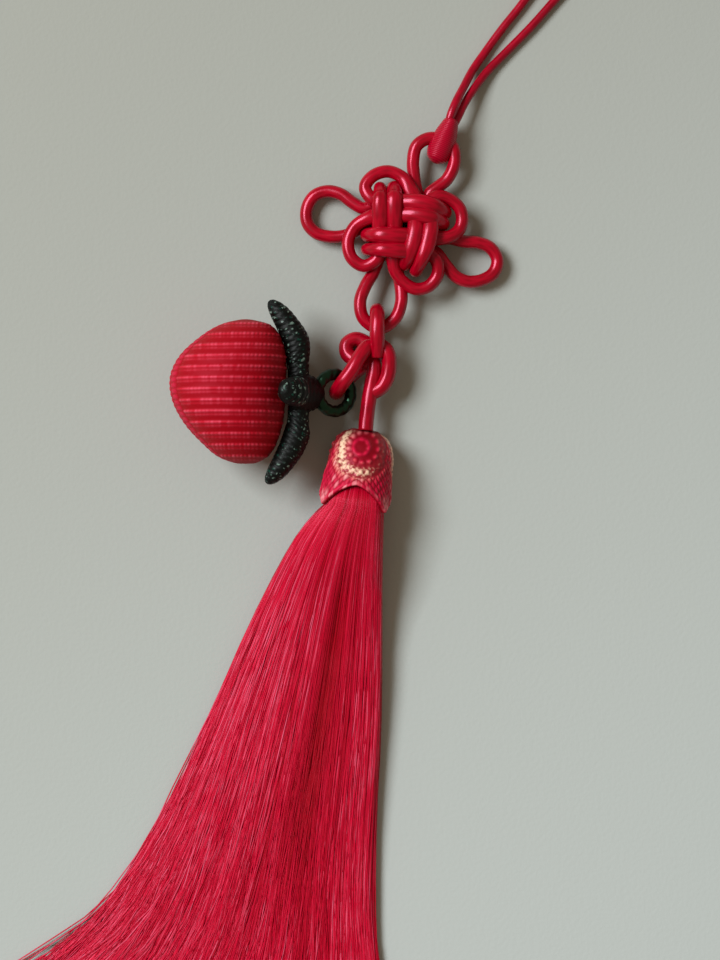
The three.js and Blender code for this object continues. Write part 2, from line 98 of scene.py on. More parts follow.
# The four arms of the knot: direction, side, offsets, folds and curl of the two strands, the large
# ear at the arm's end, and the small ear that leads to the next arm
ARMS = {
    "left": {
        "along": (-1, 0), "side": (0, 1), "pair": (1.4, 3.8), "folds": (7.2, 7.7), "curl": -0.03,
        "ear": [
            (-8.6, -0.4, 3.3), (-12.2, -2.3, 2.7), (-15.5, -2.5, 2.3), (-18.2, -1.7, 2.1),
            (-19.9, 0.3, 2.0), (-20.0, 3.2, 2.0), (-18.5, 5.7, 2.1), (-15.8, 6.6, 2.4),
            (-13.1, 5.9, 2.9), (-10.8, 4.2, 3.3), (-8.5, 3.0, 3.6)],
        "next": [
            (-7.0, 4.7, 6.0), (-8.3, 7.0, 5.5), (-6.7, 9.3, 5.3), (-3.7, 10.2, 5.2),
            (-0.8, 8.9, 5.4), (0.6, 6.5, 6.0)]},
    "top": {
        "along": (0, 1), "side": (1, 0), "pair": (1.8, 4.75), "folds": (8.4, 9.7), "curl": -0.031,
        "ear": [
            (1.6, 8.6, 3.9), (1.3, 12.3, 4.2), (2.0, 15.4, 4.4), (4.3, 16.9, 4.4),
            (7.0, 16.7, 4.4), (9.2, 15.2, 4.4), (9.6, 12.2, 4.2), (8.2, 8.9, 3.9)],
        "next": [
            (6.3, 5.1, 6.0), (8.7, 4.5, 5.5), (10.6, 2.8, 5.3), (11.1, 0.4, 5.2),
            (10.3, -1.7, 5.4), (8.2, -3.0, 6.0)]},
    "right": {
        "along": (1, 0), "side": (0, -1), "pair": (3.0, 5.9), "folds": (7.9, 7.9), "curl": -0.008,
        "ear": [
            (8.6, -3.0, 3.7), (11.6, -3.6, 3.2), (14.5, -3.8, 2.8), (17.0, -4.9, 2.5),
            (18.3, -7.3, 2.4), (17.5, -9.8, 2.5), (15.1, -11.3, 2.7), (12.3, -11.6, 3.0),
            (9.9, -10.6, 3.4), (7.9, -8.4, 3.7)],
        "next": [
            (5.9, -7.7, 6.0), (6.2, -10.3, 5.5), (4.5, -12.7, 5.3), (1.8, -13.3, 5.2),
            (-0.9, -11.7, 5.3), (-2.4, -9.5, 5.5), (-2.7, -7.2, 6.0)]},
    "bottom": {
        "along": (0, -1), "side": (-1, 0), "pair": (2.5, 5.3), "folds": (6.9, 6.9), "curl": 0,
        "ear": [
            (-1.9, -8.9, 3.8), (-1.2, -12.6, 4.4), (-1.1, -16.0, 4.9), (-2.4, -19.3, 5.0),
            (-5.5, -21.1, 5.0), (-8.6, -19.2, 5.0), (-9.3, -15.8, 4.9), (-8.2, -12.6, 4.4),
            (-6.6, -9.7, 3.8)],
        "next": [
            (-6.0, -7.4, 6.0), (-8.6, -8.7, 5.5), (-11.0, -7.1, 5.3), (-11.7, -3.8, 5.2),
            (-10.3, -0.8, 5.4), (-7.6, 0.8, 6.0)]},
}

HANG_ROUTE = [
    (8.9, 21.7, 5.4), (9.9, 24.2, 5.0), (11.4, 27.2, 3.4), (13.4, 31.1, 1.8), (15.9, 34.8, 1.0),
    (19.4, 39.6, 0.9), (23.3, 44.5, 0.9), (27.4, 50.3, 0.9), (31.0, 57.0, 0.9), (33.6, 64.4, 0.9),
    (34.9, 71.2, 0.9), (37.6, 76.4, 0.9), (42.0, 77.2, 0.9), (44.0, 73.4, 0.9), (42.9, 67.0, 0.9),
    (39.6, 58.6, 0.9), (34.9, 51.2, 0.9), (29.2, 44.5, 0.9), (25.3, 40.1, 0.9), (20.2, 34.9, 0.9),
    (16.6, 31.2, 1.2), (13.9, 27.7, 2.1), (11.7, 24.2, 3.2), (10.2, 21.1, 3.6)]
HANG_ROOTS = [(8.4, 20.0, 5.1)], [(9.3, 19.4, 4.1)]  # its two ends, hidden in the wrap

# The thread wrap round the neck: distance along it, half width and half height
WRAP_START, WRAP_END = (9.2, 21.0, 4.5), (5.7, 12.0, 3.9)
WRAP = np.array([
    (0.0, 1.35, 1.95), (0.12, 1.6, 2.2), (0.35, 2.2, 2.8), (0.6, 2.5, 2.9), (0.8, 2.4, 2.6),
    (0.92, 1.9, 2.0), (1.0, 1.1, 1.2)])
WRAP_THREAD = 0.36  # distance from turn to turn
WRAP_RELIEF = 0.09

LINK_STRANDS = {
    "loop": [
        (-5.9, -26.6, 6.6), (-5.9, -24.0, 7.9), (-5.9, -21.1, 8.2), (-5.9, -18.5, 7.3),
        (-5.9, -17.6, 5.0), (-5.9, -18.6, 2.6), (-5.9, -21.3, 1.75), (-5.9, -24.6, 1.8),
        (-5.9, -27.4, 2.2)],
    "left_lobe": [
        (-5.0, -25.8, 3.4), (-7.6, -24.2, 2.5), (-10.1, -23.1, 2.1), (-11.9, -24.1, 2.2),
        (-11.9, -26.0, 2.6), (-10.2, -27.4, 3.4), (-7.8, -28.0, 4.4), (-5.4, -28.4, 4.6)],
    "slant": [
        (-5.6, -26.8, 3.2), (-6.2, -25.4, 5.2), (-7.8, -25.0, 7.0), (-9.3, -26.9, 8.0),
        (-10.9, -29.6, 8.4), (-12.8, -32.2, 7.8), (-14.1, -33.9, 5.1), (-13.6, -33.5, 2.4),
        (-11.8, -31.2, 1.7), (-9.6, -29.1, 1.6), (-7.6, -27.8, 2.0)],
    "right_lobe": [
        (-6.4, -25.6, 5.0), (-5.0, -24.8, 6.0), (-3.8, -26.1, 6.4), (-3.5, -28.5, 6.2),
        (-3.9, -31.0, 6.0), (-5.1, -33.0, 5.8), (-6.8, -34.0, 5.5)],
    "stem": [
        (-6.8, -26.6, 4.6), (-6.5, -29.2, 5.2), (-7.0, -32.4, 5.5), (-7.6, -36.0, 5.7),
        (-8.0, -39.0, 5.9), (-8.2, -41.6, 6.0)],
}

RING_CENTRE = (-14.4, -34.1, 6.1)
RING_RADIUS = 3.7
RING_TIP = math.radians(29)
RING_KNOTS = 15
RING_RELIEF = 0.12

# The fruit in rows from top to bottom: y, left edge, right edge and half depth
FRUIT_HEIGHT = 10.3
FRUIT_RIBS = 13
FRUIT_KNOT = 1.02  # length of a knot along its rib
FRUIT_RELIEF, FRUIT_GROOVE = 0.24, 0.16
EDGING, EDGING_KNOT = 0.54, 1.15  # the edging's half width, in radians, and its knots' length
FRUIT = np.array([
    (-19.7, -32.0, -31.8, 0.0), (-19.9, -33.6, -30.2, 1.6), (-20.7, -36.6, -27.3, 4.4),
    (-22.5, -39.9, -25.3, 7.2), (-26.0, -44.1, -24.0, 9.6), (-29.4, -46.3, -23.8, 10.7),
    (-32.8, -46.9, -23.9, 11.0), (-36.8, -46.0, -24.1, 10.7), (-41.0, -43.5, -24.7, 9.4),
    (-44.8, -39.9, -26.0, 6.9), (-46.9, -37.3, -27.6, 4.4), (-48.1, -34.2, -29.8, 1.6),
    (-48.3, -32.1, -31.9, 0.0)])

# The calyx: a hub, and leaves in rows from root to tip: reach away from the fruit's axis, place
# along X, half breadth and half thickness
HUB_Y, HUB_Z, HUB_BACK, HUB_NOSE, HUB_RADIUS, HUB_DROOP = -34.3, 10.3, -23.4, -16.3, 4.3, 3.0
HUB_SLIM = 0.86  # how much the hub tapers to its nose
LEAF = np.array([
    (5.2, -21.5, 2.4, 2.1), (7.0, -21.5, 2.8, 2.35), (10.0, -21.9, 2.9, 2.35),
    (13.2, -23.6, 2.7, 2.1), (16.2, -25.6, 2.1, 1.6), (18.1, -27.1, 1.1, 0.9)])
LEAF_ROOT = 3.4  # how far a leaf's threads run on into the hub
LEAF_LEAN = 0.45  # how far a leaf's outer face leans away from the hub
LEAF_KNOT = 1.05
CALYX_RELIEF = 0.2
LEAVES = {  # turn round the fruit's axis, reach, and how far it leans to the fruit
    "leaf_upper": (90, 1.0, 0.0), "leaf_front": (0, 0.5, 0.0), "leaf_lower": (270, 0.97, 0.7),
    "leaf_under": (180, 0.38, 0.0)}

# The cap, from the stem to the mouth: share of its length and radius
CAP_START, CAP_END = np.array([-8.3, -41.4]), np.array([-10.6, -57.0])
CAP_LENGTH = float(np.hypot(*(CAP_END - CAP_START)))
CAP_AXIS = (CAP_END - CAP_START) / CAP_LENGTH
CAP_WALL, CAP_POINTS, CAP_NOTCH, CAP_ARCH, CAP_PRESS = 0.9, 3, 4.6, 1.5, 0.2
CAP_RELIEF = 0.36
MEDALLION = 3.6  # distance of a medallion's middle from the stem
MEDALLION_RINGS = (1.55, 3.05, 4.75)  # radii of its heart, its dots and its gold frame
STUD = 0.95  # width of the small knots at the cap's flanks
CAP_ROWS = np.array([
    (0.0, 2.6), (0.06, 4.2), (0.16, 5.5), (0.3, 6.2), (0.55, 6.6), (0.8, 7.0), (1.0, 7.35)])

# The skirt: half widths of its head and its bundle, the root inside the cap, the distance over
# which the bundle settles, and the length. Then headings in degrees left of straight down and
# depths of the heap, by distance
SKIRT_HEAD, SKIRT_BUNDLE, SKIRT_ROOT, SKIRT_SETTLE, SKIRT_LENGTH = 5.0, 6.15, -4.8, 26.0, 129.0
FAN = np.array([  # run, left, right, deep at the left, deep at the right
    (0, 51, 2, 9, 11), (10, 33, 1, 6, 9.5), (20, 28, 0, 4.4, 7.8), (32, 24, 1, 3.8, 7.0),
    (45, 22.5, 3, 3.0, 5.6), (60, 23.5, 4, 2.7, 4.9), (75, 27, 0, 2.3, 4.2),
    (88, 34.5, -5.5, 2.0, 3.6), (100, 49, -8, 1.9, 3.2), (130, 52, -5, 1.6, 2.6)], float)
FAN_CURVE = 1.5  # how strongly the spread gathers at the left edge
PARTING = 0.43  # share across the skirt where its threads part a little
PARTING_DRIFT = 0.0011  # how much further left it lies, by millimetre along the skirt
BODY_THREADS, BODY_SAMPLES, BODY_LENGTH = 150, 6, 121
BODY_LEVEL, BODY_RISE = 0.5, 0.28  # share of the heap's height, and how much more near the cap
SKIRT_LOCKS = 64
THREAD_LAYERS = {  # lowest and highest share of the heap's height, and number of threads
    "a": (-0.9, 0.5, 800), "b": (0.3, 0.75, 1450), "c": (0.65, 1.0, 1450)}
THREAD_RADIUS = (0.1, 0.17)
THREAD_PRESS = 0.8  # how far the upper layers are pressed together near the cap
STRAYS, STRAY_REACH = 0.08, 2.6  # share of the threads that wander off, and how much further


def row_frame(points):
    """Layout millimetres as metres in the row frame."""
    return (np.asarray(points, float) + SHIFT) * MM


def smooth(value, low, high):
    """0 below low, 1 above high and an eased step between."""
    share = np.clip((value - low) / (high - low), 0, 1)
    return share * share * (3 - 2 * share)


def bell(value, centre, width):
    """A soft bump of height 1 round a centre."""
    return np.exp(-(((value - centre) / width) ** 2))


def humps(cycles):
    """A round hump of height 1 for each cycle, with a sharp furrow between."""
    return np.abs(np.sin(math.pi * cycles))


def closed_ends(share, power):
    """1 along a form and 0 at both of its ends, which are blunter with a higher power."""
    return np.sqrt(np.clip(1 - np.abs(2 * share - 1) ** power, 0, 1))


def full_turn(sides):
    """Angles round a form, as one row."""
    return TAU * np.arange(sides)[None, :] / sides


def eased(table, at, column):
    """A column of a table at places along its first column, as a smooth curve."""
    keys, values = table[:, 0], table[:, column]
    slopes = np.gradient(values, keys)
    i = np.clip(np.searchsorted(keys, at) - 1, 0, len(keys) - 2)
    span = keys[i + 1] - keys[i]
    t = np.clip((at - keys[i]) / span, 0, 1)
    return ((2 * t**3 - 3 * t**2 + 1) * values[i] + (t**3 - 2 * t**2 + t) * span * slopes[i]
            + (3 * t**2 - 2 * t**3) * values[i + 1] + (t**3 - t**2) * span * slopes[i + 1])


def curve(points, step, closed=False):
    """Even points along the centripetal Catmull-Rom curve through given points."""
    points = np.asarray(points, float)
    if closed:
        around = np.vstack([points[-1:], points, points[:2]])
    else:
        around = np.vstack([2 * points[0] - points[1], points, 2 * points[-1] - points[-2]])
    share = np.linspace(0, 1, 30, endpoint=False)[:, None]
    fine = []
    for a, b, c, d in zip(around, around[1:], around[2:], around[3:]):
        before, here, after = (math.sqrt(np.linalg.norm(q - p)) for p, q in ((a, b), (b, c), (c, d)))
        start = ((b - a) / before - (c - a) / (before + here) + (c - b) / here) * here
        end = ((c - b) / here - (d - b) / (here + after) + (d - c) / after) * here
        fine.append(b + start * share + (3 * (c - b) - 2 * start - end) * share**2
                    + (2 * (b - c) + start + end) * share**3)
    fine = np.vstack(fine + [around[-2:-1]])
    reach = np.append(0, np.cumsum(np.linalg.norm(np.diff(fine, axis=0), axis=1)))
    count = int(round(reach[-1] / step)) + 1
    even = np.linspace(0, reach[-1], count)
    path = np.stack([np.interp(even, reach, fine[:, axis]) for axis in range(3)], axis=1)
    return (path[:-1], even[:-1]) if closed else (path, even)


def carried_frames(path, closed):
    """Two directions across the path at each point, turned as little as possible along it."""
    if closed:
        tangent = np.roll(path, -1, axis=0) - np.roll(path, 1, axis=0)
    else:
        tangent = np.gradient(path, axis=0)
    tangent /= np.linalg.norm(tangent, axis=1, keepdims=True)
    normal = np.zeros_like(path)
    first = np.cross(tangent[0], (0, 0, 1) if abs(tangent[0][2]) < 0.9 else (1, 0, 0))
    normal[0] = first / np.linalg.norm(first)
    for i in range(1, len(path)):
        carried = normal[i - 1] - tangent[i] * normal[i - 1].dot(tangent[i])
        normal[i] = carried / np.linalg.norm(carried)
    if closed:
        last = normal[-1] - tangent[0] * normal[-1].dot(tangent[0])
        miss = math.atan2(np.cross(last, normal[0]).dot(tangent[0]), last.dot(normal[0]))
        turn = (miss * np.arange(len(path)) / len(path))[:, None]
        normal = normal * np.cos(turn) + np.cross(tangent, normal) * np.sin(turn)
    return normal, np.cross(tangent, normal)


def cord_skin(points, diameter, step, sides, closed=False, spread=None, relief=None):
    """A swept cord. spread widens it level with the floor, and relief is added to its radius."""
    path, along = curve(points, step, closed)
    normal, other = carried_frames(path, closed)
    angle = TAU * np.arange(sides) / sides
    radius = np.full((len(path), sides), diameter / 2)
    if relief is not None:
        radius = radius + relief(along[:, None], angle[None, :])
    offset = radius[..., None] * (normal[:, None] * np.cos(angle)[None, :, None]
                                  + other[:, None] * np.sin(angle)[None, :, None])
    if spread is not None:
        wide, high = spread(path)
        offset = offset * np.stack([wide, wide, high], axis=1)[:, None]
    return skin(path[:, None] + offset, along, closed)


def skin(rings, along, closed=False, **values):
    """Rings of points as one closed skin, with UVs of millimetres along and share round."""
    rows, sides = rings.shape[:2]
    middle = rings.mean(axis=1, keepdims=True)
    forward = np.roll(middle, -1, axis=0) - middle
    turn = np.cross(rings - middle, np.roll(rings, -1, axis=1) - middle).sum(axis=1)
    if np.einsum("ij,ij->i", turn[:-1], forward[:-1, 0]).sum() < 0:
        rings = rings[:, ::-1]
        values = {name: value[:, ::-1] for name, value in values.items()}
    i, j = np.meshgrid(np.arange(rows if closed else rows - 1), np.arange(sides), indexing="ij")
    near, far = i * sides, (i + 1) % rows * sides
    beside = (j + 1) % sides
    corners = np.stack([near + j, near + beside, far + beside, far + j], axis=-1).ravel()
    reach = np.append(along, 2 * along[-1] - along[-2])
    u = np.stack([reach[i], reach[i], reach[i + 1], reach[i + 1]], axis=-1).ravel()
    v = np.stack([j, j + 1, j + 1, j], axis=-1).ravel() / sides
    counts = np.full(i.size, 4)
    if not closed:
        ends = np.concatenate([np.arange(sides)[::-1], (rows - 1) * sides + np.arange(sides)])
        corners = np.append(corners, ends)
        counts = np.append(counts, [sides, sides])
        u = np.append(u, np.repeat([along[0], along[-1]], sides))
        v = np.append(v, ends % sides / sides)
    flat = {name: np.broadcast_to(value, (rows, sides)).ravel() for name, value in values.items()}
    return {"points": rings.reshape(-1, 3), "corners": corners, "counts": counts,
            "uv": np.stack([u, v], axis=1), "values": flat}


def add_piece(name, parts, finish, slot, *nodes):
    """Joins skins into one object that rides on the root body and stands for its nodes."""
    mesh = bpy.data.meshes.new(name)
    firsts = np.cumsum([0] + [len(part["points"]) for part in parts[:-1]])
    points = row_frame(np.concatenate([part["points"] for part in parts]))
    corners = np.concatenate([part["corners"] + first for part, first in zip(parts, firsts)])
    counts = np.concatenate([part["counts"] for part in parts])
    mesh.vertices.add(len(points))
    mesh.vertices.foreach_set("co", points.astype(np.float32).ravel())
    mesh.loops.add(len(corners))
    mesh.loops.foreach_set("vertex_index", corners.astype(np.int32))
    mesh.polygons.add(len(counts))
    mesh.polygons.foreach_set("loop_start", (np.cumsum(counts) - counts).astype(np.int32))
    mesh.polygons.foreach_set("use_smooth", counts == 4)  # only the cut ends stay flat
    uv = np.concatenate([part["uv"] for part in parts]).astype(np.float32)
    mesh.uv_layers.new(name="UVMap").data.foreach_set("uv", uv.ravel())
    for value in parts[0]["values"]:
        held = np.concatenate([part["values"][value] for part in parts]).astype(np.float32)
        mesh.attributes.new(value, "FLOAT", "POINT").data.foreach_set("value", held)
    mesh.update(calc_edges=True)
    mesh.materials.append(finish)
    piece = bpy.data.objects.new(name, mesh)
    bpy.context.scene.collection.objects.link(piece)
    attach(piece, "root")
    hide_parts(*nodes)
    return piece


def paint(red, green, blue):
    """A colour given in the 0 to 255 steps of a screen, as the shader's linear one."""
    linear = [((c / 255 + 0.055) / 1.055) ** 2.4 if c > 10 else c / 255 / 12.92
              for c in (red, green, blue)]
    return (*linear, 1.0)


class Finish:
    """One node material. What is even over the surface is set on the shader's own sockets."""

    def __init__(self, name, **even):
        self.material = bpy.data.materials.new(name)
        self.material.use_nodes = True
        self.tree = self.material.node_tree
        self.shader = self.tree.nodes["Principled BSDF"]
        for socket, value in even.items():
            self.shader.inputs[socket.replace("_", " ")].default_value = value

    def add(self, kind, inputs, out=0, **settings):
        node = self.tree.nodes.new("ShaderNode" + kind)
        for name, value in settings.items():
            setattr(node, name, value)
        for socket, value in inputs.items():
            if isinstance(value, bpy.types.NodeSocket):
                self.tree.links.new(value, node.inputs[socket])
            else:
                node.inputs[socket].default_value = value
        return node.outputs[out]

    def math(self, operation, a, b=0.0, c=0.0):
        return self.add("Math", {0: a, 1: b, 2: c}, operation=operation)

    def value(self, name):
        """A value that the mesh holds at its points."""
        return self.add("Attribute", {}, out="Fac", attribute_name=name)

    def mix(self, share, a, b):
        return self.add("Mix", {0: share, 6: a, 7: b}, out=2, data_type="RGBA")

    def between(self, value, low, high, to_low=0.0, to_high=1.0):
        return self.add("MapRange", {0: value, 1: low, 2: high, 3: to_low, 4: to_high},
                        interpolation_type="SMOOTHSTEP")

    def place(self):
        """Place in the row frame, in millimetres."""
        spot = self.add("TexCoord", {}, out="Object")
        return self.add("VectorMath", {0: spot, 3: 1 / MM}, operation="SCALE")

    def split(self, vector):
        """A vector's X, Y and Z."""
        node = self.tree.nodes.new("ShaderNodeSeparateXYZ")
        self.tree.links.new(vector, node.inputs[0])
        return tuple(node.outputs)

    def along_and_round(self):
        """Millimetres along a piece, and share of the way round it."""
        return self.split(self.add("UVMap", {}, uv_map="UVMap"))[:2]

    def noise(self, vector, scale, detail=2.0):
        return self.add("TexNoise", {"Vector": vector, "Scale": scale, "Detail": detail})

    def wave(self, cycles):
        """A wave of cycles, from -1 to 1."""
        return self.math("SINE", self.math("MULTIPLY", cycles, TAU))

    def bump(self, height, depth, strength=1.0):
        """Raises the surface by a height of 0 to 1, over a depth in millimetres."""
        normal = self.add("Bump", {"Height": height, "Distance": depth * MM, "Strength": strength})
        self.set("Normal", normal)

    def set(self, socket, value):
        self.tree.links.new(value, self.shader.inputs[socket])


ROSE = (1.0, 0.3, 0.44, 1.0)  # tint of the light on red silk and satin


def braided(name, dark, bright, strands, lay):
    """Satin cord: fine braided strands that cross, with a soft streak of light."""
    finish = Finish(name, Roughness=0.25, Specular_IOR_Level=0.8, Specular_Tint=ROSE)
    along, share = finish.along_and_round()
    lanes = finish.math("MULTIPLY", share, strands)
    steps = finish.math("DIVIDE", along, lay)
    one = finish.wave(finish.math("ADD", lanes, steps))
    other = finish.wave(finish.math("SUBTRACT", lanes, steps))
    braid = finish.math("MAXIMUM", one, other)
    mottle = finish.noise(finish.place(), 0.25)
    tone = finish.math("MULTIPLY_ADD", braid, 0.12, finish.math("MULTIPLY", mottle, 0.6))
    finish.set("Base Color", finish.mix(finish.between(tone, 0.1, 0.6), dark, bright))
    finish.bump(braid, 0.02, 0.3)
    return finish.material


def wound_silk():
    """Thread turns, with painted shade darkening the furrows between them."""
    finish = Finish("silk_wrap", Roughness=0.36, Specular_IOR_Level=0.6, Specular_Tint=ROSE)
    relief = finish.value("relief")
    fibre = finish.noise(finish.place(), 9.0)
    # painted shade: the lower the relief, the darker the thread, so the furrows darken and the turns'
    # crowns lighten
    tone = finish.math("MULTIPLY_ADD", relief, 0.7, finish.math("MULTIPLY", fibre, 0.3))
    finish.set("Base Color", finish.mix(tone, paint(118, 0, 20), paint(190, 4, 44)))
    finish.bump(fibre, 0.04, 0.5)
    return finish.material


def red_weave():
    """Rows of knots over fine cord: painted shade in hollows, a painted pink highlight where a crest
    catches the light.
    """
    finish = Finish("red_weave", Specular_IOR_Level=0.3, Specular_Tint=ROSE)
    relief, pink, shine = (finish.value(name) for name in ("relief", "pink", "shine"))
    place = finish.place()
    fibre = finish.noise(place, 5.0, 3.0)
    # painted shade: the lower the relief, the darker the red
    tone = finish.math("MULTIPLY_ADD", fibre, 0.35, finish.math("MULTIPLY", relief, 0.75))
    body = finish.mix(finish.between(tone, 0.1, 0.9), paint(150, 0, 14), paint(186, 0, 26))
    # painted highlight: shine lays pale pink on the crests
    body = finish.mix(finish.math("MULTIPLY", shine, 0.9), body, paint(232, 84, 110))
    finish.set("Base Color", finish.mix(pink, body, paint(204, 40, 80)))
    finish.set("Roughness", finish.between(shine, 0, 1, 0.6, 0.36))
    finish.bump(fibre, 0.05, 0.45)
    return finish.material


def green_weave():
    """Nearly black green thread with a thin tinsel, its glitter painted as pale flecks, and painted
    shade between the knots.
    """
    finish = Finish("green_weave", Specular_IOR_Level=0.2)
    relief = finish.value("relief")
    place = finish.place()
    chance, hue, _ = finish.split(
        finish.add("TexVoronoi", {"Vector": place, "Scale": 2.6}, out="Color"))
    # tinsel flecks, with their glitter painted as pale colour, only on the raised knots
    fleck = finish.math("MULTIPLY", finish.between(chance, 0.8, 0.9),
                        finish.between(relief, 0.35, 0.7))
    fibre = finish.noise(place, 6.0)
    # painted shade: the ground is darker where the relief is low
    ground = finish.mix(finish.math("MULTIPLY", relief, fibre), paint(1, 2, 2), paint(7, 15, 12))
    tinsel = finish.mix(finish.between(hue, 0.3, 0.8), paint(12, 54, 44),
                        paint(104, 124, 114))
    finish.set("Base Color", finish.mix(fleck, ground, tinsel))
    finish.set("Roughness", finish.between(fleck, 0, 1, 0.5, 0.28))
    finish.bump(fibre, 0.06, 0.5)
    return finish.material


def glossy_green():
    """The ring's cord: nearly black, with a green light in its gloss."""
    finish = Finish("green_cord", Roughness=0.3, Specular_IOR_Level=0.6,
                    Specular_Tint=(0.4, 1.0, 0.62, 1.0))
    fibre = finish.noise(finish.place(), 4.0)
    tone = finish.math("MULTIPLY", finish.value("relief"), fibre)
    finish.set("Base Color", finish.mix(tone, paint(1, 2, 1), paint(4, 16, 10)))
    finish.bump(fibre, 0.03, 0.4)
    return finish.material


def cap_weave():
    """Red knots with painted shade in the hollows and painted pale highlights, and knots of dull
    gold.
    """
    finish = Finish("cap_weave", Specular_IOR_Level=0.45, Specular_Tint=ROSE)
    relief, gold, pale = (finish.value(name) for name in ("relief", "gold", "pale"))
    place = finish.place()
    fibre = finish.noise(place, 5.0, 3.0)
    # painted shade: the lower the relief, the darker the red
    tone = finish.math("MULTIPLY_ADD", fibre, 0.3, finish.math("MULTIPLY", relief, 0.85))
    red = finish.mix(finish.between(tone, 0.1, 1.0), paint(132, 0, 18), paint(206, 20, 62))
    # painted highlight: pale pink where the knots catch the light
    red = finish.mix(pale, red, paint(242, 156, 164))
    # painted highlight on the gold: paler where its knots are raised, brighter in some patches than
    # others
    glint = finish.noise(place, 2.2)
    metal = finish.mix(finish.between(finish.math("ADD", glint, relief), 0.8, 1.45),
                       paint(140, 50, 50), paint(253, 214, 182))
    finish.set("Base Color", finish.mix(gold, red, metal))
    finish.set("Roughness", finish.between(gold, 0, 1, 0.5, 0.34))
    finish.bump(fibre, 0.05, 0.5)
    return finish.material


def silk_thread():
    """Silk with long painted streaks of pink light, each thread with a streak of its own."""
    finish = Finish("silk_thread", Roughness=0.34, Specular_IOR_Level=0.6, Specular_Tint=ROSE)
    shade = finish.value("shade")
    along, _ = finish.along_and_round()
    strip = finish.add("CombineXYZ", {0: finish.math("MULTIPLY", along, 0.09),
                                      1: finish.value("lane")})
    # painted light: the streak noise lightens and darkens each thread along its length
    streak = finish.noise(strip, 1.0, 3.0)
    tone = finish.math("MULTIPLY_ADD", streak, 0.5, shade)
    body = finish.mix(finish.between(tone, 0.2, 1.0), paint(158, 0, 16), paint(216, 12, 56))
    # painted highlight: pale pink where a streak is brightest on a light thread
    painted_highlight = finish.math("MULTIPLY", finish.between(streak, 0.46, 0.66),
                       finish.between(shade, 0.4, 0.85))
    finish.set("Base Color", finish.mix(finish.math("MULTIPLY", painted_highlight, 0.8), body,
                                        paint(246, 112, 146)))
    fibre = finish.noise(finish.place(), 8.0)
    finish.bump(fibre, 0.02, 0.3)
    return finish.material


def pale_floor():
    """Matt grey paper, with painted light that makes it a little paler to the lower right."""
    finish = Finish("pale_floor", Roughness=0.7, Specular_IOR_Level=0.25)
    place = finish.place()
    grain = finish.noise(place, 1.1, 6.0)
    x, y, _ = finish.split(place)
    # painted light: paler to the lower right, darker to the upper left
    slope = finish.math("MULTIPLY_ADD", x, -0.7, y)
    finish.set("Base Color", finish.mix(finish.between(slope, -200, 190), paint(196, 204, 203),
                                        paint(158, 160, 153)))
    finish.bump(grain, 0.12, 0.35)
    return finish.material


def add_camera():
    """A camera straight above, with the photograph's frame at the knot's height."""
    lens = bpy.data.cameras.new("camera")
    lens.sensor_fit = "VERTICAL"
    lens.sensor_height = SENSOR
    lens.lens = SENSOR * (CAMERA_HEIGHT - KNOT_HEIGHT) / (PHOTO_HEIGHT * PIXEL)
    camera = bpy.data.objects.new("camera", lens)
    camera.location = row_frame((*VIEW_CENTRE, CAMERA_HEIGHT))
    bpy.context.scene.collection.objects.link(camera)
    bpy.context.scene.camera = camera


def hang_cord():
    """The thin cord: out of the wrap, down to the floor, round its loop and back."""
    whole = HANG_ROOTS[0] + HANG_ROUTE + HANG_ROOTS[1]
    path, along = curve(whole, 0.8)
    part = cord_skin(whole, HANG_CORD, 0.4, 16)
    cord = add_piece("hang_cord_satin", [part], braided(
        "hang_cord", paint(136, 0, 24), paint(168, 0, 34), 6, 5.0), "hang_cord", "hang_cord")


def strand_of_arm(arm, which):
    """One strand of a pair: from its splice on the front, round the fold, over the back and out."""
    fold = arm["folds"][which]
    turn = fold - FOLD_DEPTH
    stations = [
        (SPLICE, FRONT_UNDER), (1.4, 7.2), (-1.8, 8.4), (-4.4, FRONT), (-turn, 7.9),
        (-fold, MIDDLE), (-turn, 2.0), (-4.4, BACK), (-1.8, 1.6), (0.8, 2.4), (3.4, BACK_UNDER),
        (5.8, 3.8)]
    points = []
    for run, height in stations:
        aside = arm["pair"][which] + arm["curl"] * min(run, 0) ** 2
        place = [arm["along"][axis] * run + arm["side"][axis] * aside for axis in (0, 1)]
        points.append((*place, height))
    return points


def lucky_knot(finish):
    """The whole knot is one cord: an arm's strand, its ear, its other strand and a small ear."""
    route = []
    for arm in ARMS.values():
        route += strand_of_arm(arm, 0) + arm["ear"] + strand_of_arm(arm, 1)[::-1] + arm["next"]

    def spread(path):
        inside = 1 - smooth(np.hypot(path[:, 0], path[:, 1]), *KNOT_BODY)
        return 1 + PRESSED_WIDE * inside, 1 - PRESSED_FLAT * inside

    part = cord_skin(route, CORD, 0.3, 22, closed=True, spread=spread)
    add_piece("lucky_knot_cord", [part], finish, "satin_cord", "lucky_knot")


def link_knot(finish):
    """The knot under the large one, as its five visible runs of cord."""
    parts = [cord_skin(points, LINK_CORD, 0.35, 22) for points in LINK_STRANDS.values()]
    add_piece("link_knot_cord", parts, finish, "satin_cord", "link_knot")


def neck_wrap():
    """Thread wound round the neck, turn beside turn."""
    start, end = np.array(WRAP_START), np.array(WRAP_END)
    length = np.linalg.norm(end - start)
    axis = (end - start)[:2] / np.linalg.norm((end - start)[:2])
    t = np.linspace(0, 1, 230)[:, None]
    angle = full_turn(48)
    relief = humps(length / WRAP_THREAD * t + angle / TAU)
    close = closed_ends(t, 14)
    wide = (eased(WRAP, t, 1) + WRAP_RELIEF * relief) * close * np.cos(angle)
    high = (eased(WRAP, t, 2) + WRAP_RELIEF * relief) * close * np.sin(angle)
    rings = np.stack([
        start[0] + (end - start)[0] * t - axis[1] * wide,
        start[1] + (end - start)[1] * t + axis[0] * wide,
        start[2] + (end - start)[2] * t + high], axis=-1)
    part = skin(rings, t[:, 0] * length, relief=relief)
    add_piece("neck_wrap_thread", [part], wound_silk(), "silk_wrap", "neck_wrap")


